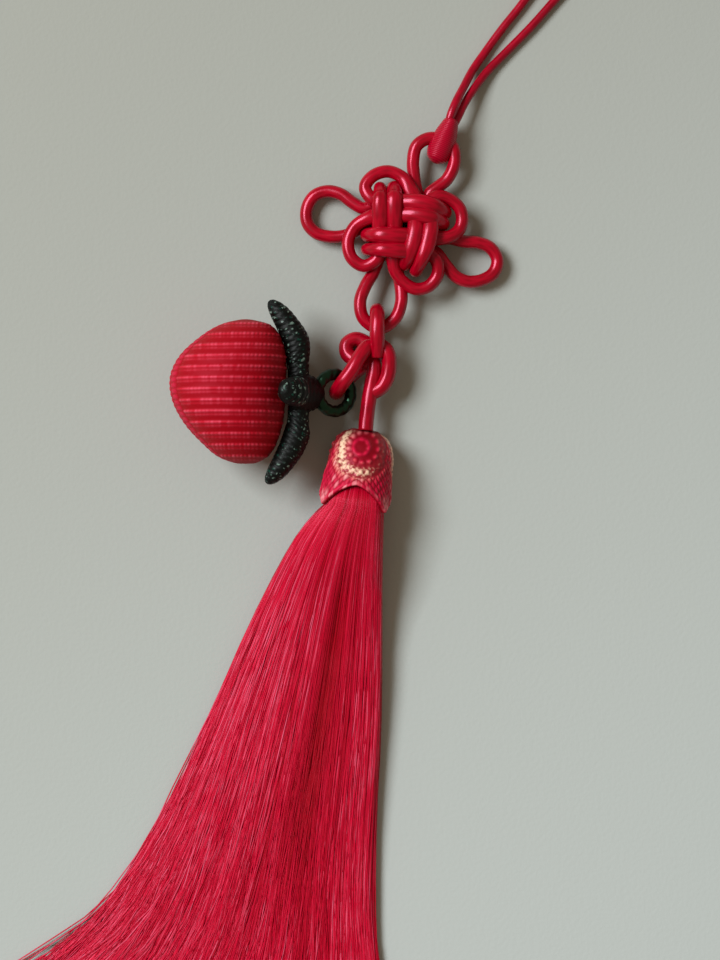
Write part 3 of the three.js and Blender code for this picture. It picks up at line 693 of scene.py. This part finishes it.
def fruit_ring(finish):
    """A ring of knotted cord, tipped down towards the link knot."""
    angle = TAU * np.arange(40) / 40
    tip = np.array([math.cos(RING_TIP), 0, -math.sin(RING_TIP)])
    points = np.array(RING_CENTRE) + RING_RADIUS * (
        np.cos(angle)[:, None] * tip + np.sin(angle)[:, None] * np.array([0, 1, 0]))
    around = TAU * RING_RADIUS

    def knots(along, turn):
        return RING_RELIEF * np.abs(np.sin(math.pi * RING_KNOTS * along / around + turn))

    part = cord_skin(points, RING_CORD, 0.16, 20, closed=True, relief=knots)
    part["values"]["relief"] = np.full(len(part["points"]), 0.7)
    add_piece("fruit_ring_cord", [part], finish, "green_cord", "fruit_ring")


def fruit_body():
    """Rows of knots run across the fruit, each over its own cord, with an edging on the left."""
    rows, sides = 290, 230
    random = np.random.default_rng(SEED)
    table = np.column_stack([np.arange(len(FRUIT)), FRUIT])
    fine = np.linspace(0, len(FRUIT) - 1, 1500)
    y, left, right, deep = (eased(table, fine, column) for column in (1, 2, 3, 4))
    deep, half = np.maximum(deep, 0), np.maximum((right - left) / 2, 0)
    reach = np.append(0, np.cumsum(np.hypot(np.diff(y), np.diff(half))))
    even = np.linspace(0, reach[-1], rows)
    y, half, deep, middle = (
        np.interp(even, reach, values)[:, None] for values in (y, half, deep, (left + right) / 2))
    angle = full_turn(sides)
    top, bottom = FRUIT[1, 0], FRUIT[-2, 0]
    ribs = FRUIT_RIBS * (y - bottom) / (top - bottom)
    rib = np.clip(np.floor(ribs), 0, FRUIT_RIBS - 1).astype(int)
    across = ribs - rib - 0.5
    crest = bell(across, 0.1, 0.12) + 0.35 * bell(across, -0.24, 0.1)
    x = middle + half * np.cos(angle)
    knot = x / FRUIT_KNOT + random.uniform(-0.1, 0.1, FRUIT_RIBS)[rib]
    cell = humps(1.3 * knot) ** 0.8
    tight = 0.12 + 0.88 * np.maximum(smooth(x, -35.5, -31.5), smooth(np.abs(y + 33.8), 6.5, 10.5))
    glint = random.uniform(0, 1, (FRUIT_RIBS, 90))[rib, np.floor(1.6 * knot).astype(int) % 90]
    rim = np.abs(np.angle(np.exp(1j * (angle - math.pi))))
    band = 1 - smooth(rim, EDGING - 0.04, EDGING + 0.06)
    edging = humps(even[:, None] / EDGING_KNOT + 0.5 * (rim > EDGING / 2)) ** 0.7
    edging = edging * humps(np.clip(rim, 0, EDGING) / (EDGING / 2)) ** 0.5
    groove = 0.6 * bell(rim, EDGING + 0.03, 0.06)
    relief = crest * (1 - 0.7 * tight * (1 - cell))
    relief = relief * (1 - band) + band * 0.7 * edging
    calm = smooth(half, 1.0, 4.5)
    out = (FRUIT_RELIEF * (relief - 0.3) - FRUIT_GROOVE * groove) * calm
    # painted highlight on the rib crests, brighter on some knots than on others
    shine = relief * (1 - band) * (0.12 + 0.88 * glint * (0.3 + 0.7 * cell)) * (1 - 0.2 * tight)
    rings = np.stack([
        middle + (half + out) * np.cos(angle), y + 0 * angle,
        np.maximum(FRUIT_HEIGHT + (deep + out) * np.sin(angle), 0.04)], axis=-1)
    # the relief value that colours the fruit is lowered in the groove beside the edging, as painted
    # shade
    part = skin(rings, even, relief=relief * (1 - 0.6 * groove), pink=0.5 * band * edging,
                shine=np.clip(shine, 0, 1))
    fruit = add_piece("fruit_macrame", [part], red_weave(), "red_weave", "fruit_body")


def calyx_hub(finish):
    """A round button of knots whose nose takes the ring."""
    t = np.linspace(0, 1, 90)[:, None]
    angle = full_turn(72)
    knots = humps(8 * t + angle * 2 / TAU) * np.abs(np.cos(6 * angle))
    taper = np.sqrt(1 - HUB_SLIM * t * t)
    bulge = (HUB_RADIUS * taper + CALYX_RELIEF * (knots - 0.5)) * closed_ends(t, 9)
    rings = np.stack([
        HUB_BACK + (HUB_NOSE - HUB_BACK) * t + 0 * angle, HUB_Y + bulge * np.cos(angle),
        HUB_Z - HUB_DROOP * smooth(t, 0.35, 1) + bulge * np.sin(angle)], axis=-1)
    part = skin(rings, t[:, 0] * (HUB_NOSE - HUB_BACK), relief=0.3 * knots)
    add_piece("calyx_hub_knots", [part], finish, "green_weave", "calyx_hub")


def leaf(name, turn, reach, lean, finish):
    """A knotted leaf that curls round the fruit's shoulder, with two lanes of small knots."""
    base = LEAF[0, 0]
    span = (LEAF[-1, 0] - base) * reach
    out = np.linspace(base - LEAF_ROOT, base + 0.3 + span, 120)[:, None]
    row = base + np.maximum(out - base - 0.3, 0) / reach
    angle = full_turn(60)
    curl = LEAF[0, 1] + (eased(LEAF, row, 1) - LEAF[0, 1]) * reach - lean * smooth(out, 6.5, 10.5)
    lane = np.floor(4 * angle / TAU)
    knots = humps(out / LEAF_KNOT + angle / TAU * 2 + 0.37 * lane) ** 0.7
    knots = knots * (0.5 + 0.5 * np.abs(np.sin(2 * angle)))
    close = closed_ends((out - out[0]) / (out[-1] - out[0]), 18)
    raised = CALYX_RELIEF * (knots - 0.4)
    broad = (eased(LEAF, row, 2) + raised) * close * np.sin(angle)
    thick = (eased(LEAF, row, 3) + raised) * close * np.cos(angle)
    away = out + LEAF_LEAN * thick * smooth(out, base - LEAF_ROOT, base)
    about = math.radians(turn)
    rings = np.stack([
        curl + thick, HUB_Y + away * math.sin(about) + broad * math.cos(about),
        np.maximum(HUB_Z + away * math.cos(about) - broad * math.sin(about), 0.03)], axis=-1)
    part = skin(rings, out[:, 0] - out[0, 0], relief=knots)
    add_piece(name + "_knots", [part], finish, "green_weave", name)


def on_cap(along, angle, radius):
    """Place on the cap's skin: share of its length, angle round it and radius there."""
    spot = CAP_START + (CAP_END - CAP_START) * along[..., None]
    lift = np.maximum(eased(CAP_ROWS, np.minimum(along, 1), 1) - CAP_PRESS, 0.02)
    return np.stack([
        spot[..., 0] - CAP_AXIS[1] * radius * np.cos(angle),
        spot[..., 1] + CAP_AXIS[0] * radius * np.cos(angle),
        np.maximum(lift + radius * np.sin(angle), 0.02)], axis=-1)


def cap_pattern(down, aside, edge, corner):
    """Heights of the cap's knots, where they are gold, and where painted highlights make them pale.

    down and aside are measured from a medallion's middle, and edge up from the cap's lower edge.
    corner is 0 at the middle of a panel and 1 between two.
    """
    random = np.random.default_rng(SEED)
    heart_radius, dots_radius, frame_radius = MEDALLION_RINGS
    heart = np.hypot(aside + 0.25, down)
    ring = np.hypot(aside - 0.3, down)
    bearing = np.arctan2(down, aside)
    petals = 0.55 + 0.45 * np.cos(13 * bearing)
    medallion = 0.9 * bell(heart, heart_radius, 0.42) * (0.8 + 0.2 * np.cos(7 * bearing))
    medallion = medallion + bell(ring, dots_radius, 0.42) * petals

    low = smooth(down, 1.0, 3.6)
    # sunny marks the lit left side; there the gold frame is wider and its beads run together, partly
    # the pattern and partly painted light
    sunny = smooth(-aside, 1.5, 3.5)
    frame = frame_radius + 0.7 * low + 0.25 * sunny
    gold = bell(ring, frame - 0.4, 0.85 + 0.3 * low + 0.35 * sunny)
    gold = gold * smooth(down, -3.9, -2.6) * (1 - 0.55 * smooth(aside, 1.5, 3.5))
    bunch = random.uniform(-0.22, 0.22, (9, 12))[
        np.floor(ring / 0.85).astype(int) % 9, np.floor(bearing * 1.9).astype(int) % 12]
    beads = 0.55 + 0.45 * np.cos(TAU * (bearing * 4.6 / 1.25 + bunch)) * np.cos(
        math.pi * (ring - 4.0 + bunch) / 0.9) + 0.3 * sunny * (1 - low)

    tilt = (edge + 0.35 * np.abs(aside)) / 1.2
    chevrons = humps(tilt) ** 0.4
    studs = humps(aside / STUD + 0.5 * np.floor(tilt)) ** 0.6
    cells = np.floor(tilt).astype(int) % 40, np.floor(aside / STUD + 20).astype(int) % 40
    hem = 0.8 * bell(edge, 0.4, 0.35) * (0.3 + 0.7 * np.abs(np.cos(math.pi * aside / 1.1)))
    flank = smooth(ring, frame + 0.5, frame + 1.1) * chevrons * (0.3 + 0.7 * studs)
    flank = flank * (0.65 + 0.35 * random.uniform(0, 1, (40, 40))[cells])
    relief = np.clip(medallion + gold * (0.3 + 0.7 * beads) + flank * (1 - hem) + hem, 0, 1)

    speck = random.uniform(0, 1, (40, 40))[cells]
    # pale: painted highlights on the corner tips near the edge, on scattered knots, and on the
    # rosette's lit side
    tips = smooth(corner, 0.78, 0.95) * bell(edge, 1.2, 1.1)
    dots = flank * (speck > 0.86) + 0.5 * hem * (speck > 0.6)
    rosette = bell(ring, dots_radius, 0.35) * petals * smooth(-aside - 0.5 * down, -0.5, 2.5)
    pale = np.clip(0.85 * tips * studs + 0.75 * dots + 0.4 * rosette, 0, 1)
    return relief, gold, pale


def tassel_cap():
    """Three knotted panels, each with a red medallion in dull gold, and a knotted red edge."""
    rows, sides, inner_rows = 170, 240, 14
    t = np.linspace(0, 1, rows)[:, None]
    angle = full_turn(sides)
    third = TAU / CAP_POINTS
    turn = (angle - math.pi / 2 + third / 2) % third - third / 2
    corner = np.abs(turn) * 2 / third
    reach = 1 - CAP_NOTCH / CAP_LENGTH * (1 - corner ** CAP_ARCH)
    along = t * (1 + (reach - 1) * smooth(t, 0.35, 1))
    radius = eased(CAP_ROWS, along, 1)
    edge = (reach - along) * CAP_LENGTH + 0.12 * np.sin(5 * angle)
    relief, gold, pale = cap_pattern(
        along * CAP_LENGTH - MEDALLION, -turn * radius, edge, corner)
    raised = CAP_RELIEF * (relief - 0.35) * smooth(t, 0.02, 0.1)
    outer = on_cap(along, angle + 0 * t, radius + raised)
    inner_t = np.linspace(1, 0.55, inner_rows)[:, None]
    inner_along = inner_t * reach
    inner = on_cap(inner_along, angle + 0 * inner_t,
                   eased(CAP_ROWS, np.minimum(inner_along, 1), 1) - CAP_WALL)
    lip = (outer[-1:] + inner[:1]) / 2 + 0.18 * np.append(CAP_AXIS, 0)
    points = np.concatenate([outer, lip, inner])
    depth = np.concatenate([t[:, 0], [1.02], 1.05 + np.arange(inner_rows) * 0.05]) * CAP_LENGTH
    inside = np.zeros((inner_rows + 1, sides))
    relief, gold, pale = (np.vstack([value, inside]) for value in (relief, gold, pale))
    part = skin(points, depth, relief=relief, gold=gold, pale=pale)
    add_piece("tassel_cap_knots", [part], cap_weave(), "cap_weave", "tassel_cap")


def fan_tables(runs):
    """The skirt's x and y for shares across it, a little past both edges, at each distance."""
    u = np.linspace(-0.04, 1.08, 281)[:, None]
    bundle = SKIRT_HEAD + (SKIRT_BUNDLE - SKIRT_HEAD) * smooth(runs, SKIRT_ROOT, 0)
    across = bundle * (1 - 2 * u)
    inside = np.minimum(runs, 0)
    x = CAP_END[0] - CAP_AXIS[1] * across + CAP_AXIS[0] * inside
    y = CAP_END[1] + CAP_AXIS[0] * across + CAP_AXIS[1] * inside
    share = np.sign(u) * np.abs(u) ** FAN_CURVE
    fine = np.arange(0, SKIRT_LENGTH + 1, 1.0)
    right, left = eased(FAN, fine, 2), eased(FAN, fine, 1)
    heading = np.radians(right + (left - right) * share)
    slip_x = np.cumsum(np.sin(heading), axis=1)
    slip_y = np.cumsum(np.cos(heading), axis=1)
    for i in range(len(u)):
        x[i] -= np.interp(runs, fine + 1, slip_x[i], left=0)
        y[i] -= np.interp(runs, fine + 1, slip_y[i], left=0)
    return u[:, 0], x, y


def parting(u, runs, width):
    """How near a thread is to the skirt's parting, which fades towards the cut ends."""
    line = PARTING + PARTING_DRIFT * (runs - 30)
    return bell(u, line, width) * smooth(runs, 6, 24) * (1 - smooth(runs, 55, 95))


def skirt_places(u, v, runs):
    """Points of threads at each distance: u across from right to left, v up through the heap."""
    grid, table_x, table_y = fan_tables(runs)
    x, y = np.empty(u.shape), np.empty(u.shape)
    for k in range(len(runs)):
        x[:, k] = np.interp(u[:, k], grid, table_x[:, k])
        y[:, k] = np.interp(u[:, k], grid, table_y[:, k])
    bundle = SKIRT_HEAD + (SKIRT_BUNDLE - SKIRT_HEAD) * smooth(runs, SKIRT_ROOT, 0)
    round_share = np.sqrt(np.clip(1 - (1 - 2 * u) ** 2, 0, 1))
    bundled = CAP_ROWS[-1, 1] - CAP_PRESS + bundle * round_share * v
    deep_left, deep_right = (np.interp(runs, FAN[:, 0], FAN[:, column]) for column in (3, 4))
    deep = deep_right + (deep_left - deep_right) * np.clip(u, 0, 1)
    deep = deep * (1 - 0.2 * parting(u, runs, 0.06))
    heaped = 0.2 + deep * (0.45 + 0.55 * round_share) * (v + 1) / 2
    settle = smooth(runs, 0, SKIRT_SETTLE)
    return np.stack([x, y, bundled + (heaped - bundled) * settle], axis=-1)


def thread_skins(paths, runs, radius, shade, lane):
    """Three-sided threads along paths, all in one set of arrays."""
    count, stations = paths.shape[:2]
    tangent = np.gradient(paths, axis=1)
    tangent /= np.linalg.norm(tangent, axis=2, keepdims=True)
    side = np.cross(tangent, (0, 0, 1.0))
    side /= np.linalg.norm(side, axis=2, keepdims=True)
    above = np.cross(side, tangent)
    angle = math.pi / 2 + TAU * np.arange(3) / 3
    thick = (radius[:, None] * np.where(np.arange(stations) == stations - 1, 0.6, 1))[..., None, None]
    points = paths[:, :, None] + thick * (side[:, :, None] * np.cos(angle)[:, None]
                                          + above[:, :, None] * np.sin(angle)[:, None])
    first, row, corner = np.meshgrid(np.arange(count), np.arange(stations - 1), np.arange(3),
                                     indexing="ij")
    base = (first * stations + row) * 3
    beside = (corner + 1) % 3
    quads = np.stack([base + corner, base + 3 + corner, base + 3 + beside, base + beside], axis=-1)
    starts = np.arange(count)[:, None] * stations * 3
    ends = np.concatenate([starts + [0, 1, 2], starts + (stations - 1) * 3 + [2, 1, 0]])
    corners = np.append(quads.ravel(), ends.ravel())
    counts = np.append(np.full(quads.size // 4, 4), np.full(len(ends), 3))
    u = np.append(runs[np.stack([row, row + 1, row + 1, row], axis=-1)].ravel(),
                  np.repeat([runs[0], runs[-1]], 3 * count))
    v = np.append(np.stack([corner, corner, corner + 1, corner + 1], axis=-1).ravel() / 3,
                  np.zeros(ends.size))
    return {"points": points.reshape(-1, 3), "corners": corners, "counts": counts,
            "uv": np.stack([u, v], axis=1),
            "values": {"shade": np.repeat(shade, 3), "lane": np.repeat(lane, stations * 3)}}


def skirt_body(finish, random):
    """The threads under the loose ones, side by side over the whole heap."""
    runs = np.concatenate([
        [SKIRT_ROOT, -1.0, 1.0, 3.5, 7.0, 11.0, 15.0], np.linspace(20, BODY_LENGTH, 19)])
    count = BODY_THREADS * BODY_SAMPLES
    share = (np.arange(count) + 0.5) / count
    lane = np.arange(count) // BODY_SAMPLES
    u = 0.01 + 0.95 * share[:, None] + 0 * runs
    level = random.uniform(-0.1, 0.12, BODY_THREADS)[lane][:, None] + 0.1 * np.sin(
        runs / 19 + random.uniform(0, TAU, BODY_THREADS)[lane][:, None])
    top = skirt_places(u, BODY_LEVEL + BODY_RISE * (1 - smooth(runs, 6, 30)) + level, runs)
    profile = humps(share * BODY_THREADS)[:, None]
    top[..., 2] += 0.1 * profile * smooth(runs, SKIRT_ROOT, 3)
    under = skirt_places(u[::-15], -0.97 + 0 * u[::-15], runs)
    rings = np.concatenate([top, under]).transpose(1, 0, 2)
    rings[..., 2] = np.maximum(rings[..., 2], 0.05)
    # painted shade: each thread's crown is a little lighter than the furrows beside it
    tone = random.uniform(0.1, 0.65, BODY_THREADS)[lane] + 0.15 * profile[:, 0]
    shade = np.append(tone, np.full(under.shape[0], 0.2))[None, :]
    numbers = np.append(3.1 * lane, np.zeros(under.shape[0]))[None, :]
    part = skin(rings, runs, shade=shade + 0 * rings[..., 0], lane=numbers + 0 * rings[..., 0])
    add_piece("skirt_body", [part], finish, "silk_thread", "tassel_skirt")


def loose_threads(runs, low, high, count, random):
    """One layer of loose threads between two shares of the heap's height, gathered into locks."""
    lock_u = 0.975 * (np.arange(SKIRT_LOCKS) + random.uniform(0.1, 0.9, SKIRT_LOCKS)) / SKIRT_LOCKS
    lock_v = random.uniform(low, high, SKIRT_LOCKS)
    lock_shade = random.uniform(0, 1, SKIRT_LOCKS)
    own_u = random.uniform(0.01, 0.965, count)
    mine = np.clip(np.searchsorted(lock_u, own_u), 0, SKIRT_LOCKS - 1)
    gather = 0.5 * smooth(runs, 6, 60)[None, :]
    stray = np.where(random.uniform(0, 1, count) < STRAYS, STRAY_REACH, 1.0)
    wander = np.clip(random.normal(0, 1, count), -2, 2) * stray
    phase = random.uniform(0, TAU, (count, 2))
    sway = smooth(runs, 0, 0.8 * SKIRT_LENGTH)[None, :]
    weave = np.sin(runs[None, :] / 12 + phase[:, :1]) * 0.016 + np.sin(
        runs[None, :] / 30 + phase[:, 1:]) * 0.044
    u = (own_u[:, None] * (1 - gather) + lock_u[mine][:, None] * gather
         + (weave + wander[:, None] * 0.010) * sway)
    own_v = random.uniform(low, high, count)
    v = own_v[:, None] * (1 - 0.5 * sway) + lock_v[mine][:, None] * 0.5 * sway
    v = np.clip(v + 0.12 * np.sin(runs[None, :] / 23 + phase[:, :1]) * sway, -1, 1)
    if low > 0:
        v = v + THREAD_PRESS * (1 - v) * (1 - smooth(runs, 4, 30))
    paths = skirt_places(u, v, runs)
    cut = random.uniform(0.7, 1, count)[:, None]
    paths[:, -1] = paths[:, -2] + (paths[:, -1] - paths[:, -2]) * cut
    shade = (0.1 + 0.4 * lock_shade[mine] + 0.5 * random.uniform(0, 1, count))[:, None]
    # painted shade darkens the threads at the parting, painted window light lightens them to the left
    # midway down, and they are darker close to the cap
    lit = bell(u, 0.8, 0.22) * bell(runs, 45, 38)
    shade = shade * (1 - 0.7 * parting(u, runs, 0.1)) + 0.14 * lit
    shade = shade * (0.7 + 0.3 * smooth(runs, 0, 18))
    return thread_skins(paths, runs, random.uniform(*THREAD_RADIUS, count), shade,
                        random.uniform(0, 400, count))


def tassel_skirt():
    """Silk threads in loose locks that leave the cap as a bundle and fan out over the floor."""
    random = np.random.default_rng(SEED)
    finish = silk_thread()
    skirt_body(finish, random)
    runs = np.concatenate([[SKIRT_ROOT, -1.5, 0.0, 2.5, 5.5, 9.0, 13.0],
                           np.linspace(18, SKIRT_LENGTH, 15)])
    for name, (low, high, count) in THREAD_LAYERS.items():
        part = loose_threads(runs, low, high, count, random)
        add_piece("skirt_threads_" + name, [part], finish, "silk_thread", "tassel_skirt")


def add_floor():
    """A wide, flat and pale floor."""
    corners = [(-FLOOR_REACH, -FLOOR_REACH), (FLOOR_REACH, -FLOOR_REACH),
               (FLOOR_REACH, FLOOR_REACH), (-FLOOR_REACH, FLOOR_REACH)]
    mesh = bpy.data.meshes.new("floor")
    mesh.from_pydata(
        [tuple(row_frame((x, y, -FLOOR_DROP))) for x, y in corners], [], [(0, 1, 2, 3)])
    mesh.materials.append(pale_floor())
    floor = bpy.data.objects.new("floor", mesh)
    bpy.context.scene.collection.objects.link(floor)


def add_lights():
    """A soft window light from the upper left and an even, warm sky."""
    lamp = bpy.data.lights.new("window", "AREA")
    lamp.shape = "RECTANGLE"
    lamp.size, lamp.size_y = (side * MM for side in WINDOW_SIZE)
    lamp.energy = WINDOW_POWER
    lamp.color = WINDOW_COLOUR
    window = bpy.data.objects.new("window", lamp)
    place, target = row_frame(WINDOW_PLACE), row_frame(WINDOW_TARGET)
    window.location = place
    window.rotation_euler = Vector(target - place).to_track_quat("-Z", "Y").to_euler()
    bpy.context.scene.collection.objects.link(window)
    world = bpy.data.worlds.new("studio")
    world.use_nodes = True
    sky = world.node_tree.nodes["Background"]
    sky.inputs["Color"].default_value = SKY_COLOUR
    sky.inputs["Strength"].default_value = SKY_STRENGTH
    bpy.context.scene.world = world
    bpy.context.scene.view_settings.view_transform = "Standard"


add_camera()
hang_cord()
satin = braided("satin_cord", paint(140, 0, 20), paint(176, 0, 32), 8, 5.5)
lucky_knot(satin)
link_knot(satin)
neck_wrap()
fruit_ring(glossy_green())
fruit_body()
calyx = green_weave()
calyx_hub(calyx)
for leaf_name, setting in LEAVES.items():
    leaf(leaf_name, *setting, calyx)
tassel_cap()
tassel_skirt()
add_floor()
add_lights()
